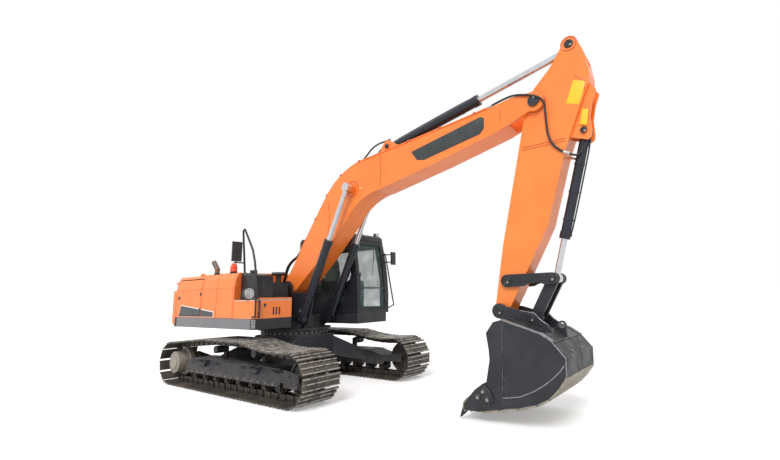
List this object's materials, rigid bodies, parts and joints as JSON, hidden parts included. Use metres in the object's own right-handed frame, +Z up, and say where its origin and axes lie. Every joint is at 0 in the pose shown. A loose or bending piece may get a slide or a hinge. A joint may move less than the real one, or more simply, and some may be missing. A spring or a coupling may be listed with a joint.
{
  "type": "crawler excavator",
  "caption": "Tracked hydraulic excavator with swinging upper, bent boom, arm and toothed bucket, all hinged, with opening doors and lids.",
  "frame": {"origin": "bottom centre of the parked machine's box, on the ground", "axes": "+X forward towards the bucket, +Y to the machine's left, +Z up"},
  "size_m": [8.7826, 3.09, 4.9559],
  "materials": {
    "bare_steel": "worn",
    "black_paint": "satin",
    "black_plastic": "matte",
    "bucket_steel": "worn",
    "cast_engine": "matte",
    "chrome_rod": "polished",
    "dark_paint": "satin",
    "glass": "clear",
    "grey_paint": "satin",
    "lamp_amber": "gloss",
    "orange_paint": "satin",
    "seat_fabric": "matte",
    "track_steel": "worn"
  },
  "bodies": {
    "undercarriage": {"carbody": "black_paint", "slew_ring": "black_paint", "track_frame_right": "black_paint", "track_frame_left": "black_paint", "track_right": "track_steel", "track_left": "track_steel", "sprocket_right": "grey_paint", "sprocket_left": "grey_paint", "idler_right": "black_paint", "idler_left": "black_paint", "rollers_right": "black_paint", "rollers_left": "black_paint"},
    "upper": {"upper_frame": "dark_paint", "counterweight": "orange_paint", "engine_house": "orange_paint", "engine": "cast_engine", "storage_box": "orange_paint", "tank": "black_paint", "handrail_right": "black_paint", "air_cleaner": "black_plastic", "exhaust": "bare_steel", "beacon": "lamp_amber", "cab_shell": "black_paint", "cab_glass": "glass", "grab_bars": "black_paint", "seat": "seat_fabric", "consoles": "black_plastic", "mirror_right": "black_plastic", "mirror_left": "black_plastic", "work_lamps": "black_plastic"},
    "cab_door": {"cab_door": "black_paint", "door_glass": "glass"},
    "engine_hood": {"engine_hood": "orange_paint"},
    "pump_door": {"pump_door": "orange_paint"},
    "radiator_door": {"radiator_door": "orange_paint"},
    "storage_lid": {"storage_lid": "orange_paint"},
    "boom": {"boom": "orange_paint"},
    "boom_cylinder_barrels": {"boom_cylinder_barrels": "black_paint"},
    "boom_cylinder_rods": {"boom_cylinder_rods": "chrome_rod"},
    "arm": {"arm": "orange_paint"},
    "arm_cylinder_barrel": {"arm_cylinder_barrel": "black_paint"},
    "arm_cylinder_rod": {"arm_cylinder_rod": "chrome_rod"},
    "bucket": {"bucket": "bucket_steel"},
    "guide_links": {"guide_links": "black_paint"},
    "bucket_link": {"bucket_link": "black_paint"},
    "bucket_cylinder_barrel": {"bucket_cylinder_barrel": "black_paint"},
    "bucket_cylinder_rod": {"bucket_cylinder_rod": "chrome_rod"}
  },
  "joints": [
    {"name": "swing", "type": "hinge", "parent": "undercarriage", "child": "upper", "pos_m": [-1.64135, 0, 0.981], "axis": [0, 0, 1], "continuous": true},
    {"name": "cab_door_hinge", "type": "hinge", "parent": "upper", "child": "cab_door", "pos_m": [-1.97435, 1.367, 1.9], "axis": [0, 0, -1], "range_deg": [-170, 0]},
    {"name": "hood_hinge", "type": "hinge", "parent": "upper", "child": "engine_hood", "pos_m": [-2.51135, 0, 2.05], "axis": [0, 1, 0], "range_deg": [0, 60]},
    {"name": "pump_door_hinge", "type": "hinge", "parent": "upper", "child": "pump_door", "pos_m": [-2.76835, -1.363, 1.6], "axis": [0, 0, 1], "range_deg": [0, 110]},
    {"name": "radiator_door_hinge", "type": "hinge", "parent": "upper", "child": "radiator_door", "pos_m": [-2.76835, 1.363, 1.6], "axis": [0, 0, -1], "range_deg": [0, 110]},
    {"name": "storage_lid_hinge", "type": "hinge", "parent": "upper", "child": "storage_lid", "pos_m": [-1.11935, -0.9, 1.59], "axis": [0, -1, 0], "range_deg": [0, 80]},
    {"name": "boom_lift", "type": "hinge", "parent": "upper", "child": "boom", "pos_m": [-1.58135, 0, 1.8], "axis": [0, 1, 0], "range_deg": [-36.6, 67.4]},
    {"name": "boom_cylinder_tilt", "type": "hinge", "parent": "upper", "child": "boom_cylinder_barrels", "pos_m": [-1.00135, 0, 1.19], "axis": [0, -1, 0], "range_deg": [-66, 36]},
    {"name": "boom_cylinder_slide", "type": "slide", "parent": "boom_cylinder_barrels", "child": "boom_cylinder_rods", "axis": [0.4444, 0, 0.8958], "range_m": [-0.91, 0.5]},
    {"name": "arm_swing", "type": "hinge", "parent": "boom", "child": "arm", "pos_m": [3.60955, 0, 4.1547], "axis": [0, -1, 0], "range_deg": [-19.1, 97.9]},
    {"name": "arm_cylinder_tilt", "type": "hinge", "parent": "boom", "child": "arm_cylinder_barrel", "pos_m": [0.91207, 0, 4.17299], "axis": [0, -1, 0], "range_deg": [-2, 6]},
    {"name": "arm_cylinder_slide", "type": "slide", "parent": "arm_cylinder_barrel", "child": "arm_cylinder_rod", "axis": [0.9789, 0, 0.2046], "range_m": [-1.22, 0.24]},
    {"name": "bucket_curl", "type": "hinge", "parent": "arm", "child": "bucket", "pos_m": [2.93256, 0, 1.33482], "axis": [0, -1, 0], "range_deg": [-140, 32]},
    {"name": "guide_link_swing", "type": "hinge", "parent": "arm", "child": "guide_links", "pos_m": [3.04772, 0, 1.72883], "axis": [0, -1, 0], "range_deg": [-92, 21.5]},
    {"name": "bucket_link_swing", "type": "hinge", "parent": "bucket", "child": "bucket_link", "pos_m": [3.37366, 0, 1.24023], "axis": [0, -1, 0], "range_deg": [-20, 87]},
    {"name": "bucket_cylinder_tilt", "type": "hinge", "parent": "arm", "child": "bucket_cylinder_barrel", "pos_m": [4.19967, 0, 3.60988], "axis": [0, -1, 0], "range_deg": [-6, 2]},
    {"name": "bucket_cylinder_slide", "type": "slide", "parent": "bucket_cylinder_barrel", "child": "bucket_cylinder_rod", "axis": [-0.2782, 0, -0.9605], "range_m": [-0.2, 0.86]}
  ],
  "couplings": [
    {"joint": "boom_cylinder_tilt", "follows": "boom_lift", "ratio": -0.97},
    {"joint": "boom_cylinder_slide", "follows": "boom_lift", "m_per_rad": -0.77},
    {"joint": "arm_cylinder_tilt", "follows": "arm_swing", "ratio": 0.05},
    {"joint": "arm_cylinder_slide", "follows": "arm_swing", "m_per_rad": -0.71},
    {"joint": "guide_link_swing", "follows": "bucket_curl", "ratio": 0.61},
    {"joint": "bucket_link_swing", "follows": "bucket_curl", "ratio": -0.595},
    {"joint": "bucket_cylinder_tilt", "follows": "bucket_curl", "ratio": 0.038},
    {"joint": "bucket_cylinder_slide", "follows": "bucket_curl", "m_per_rad": -0.33}
  ]
}
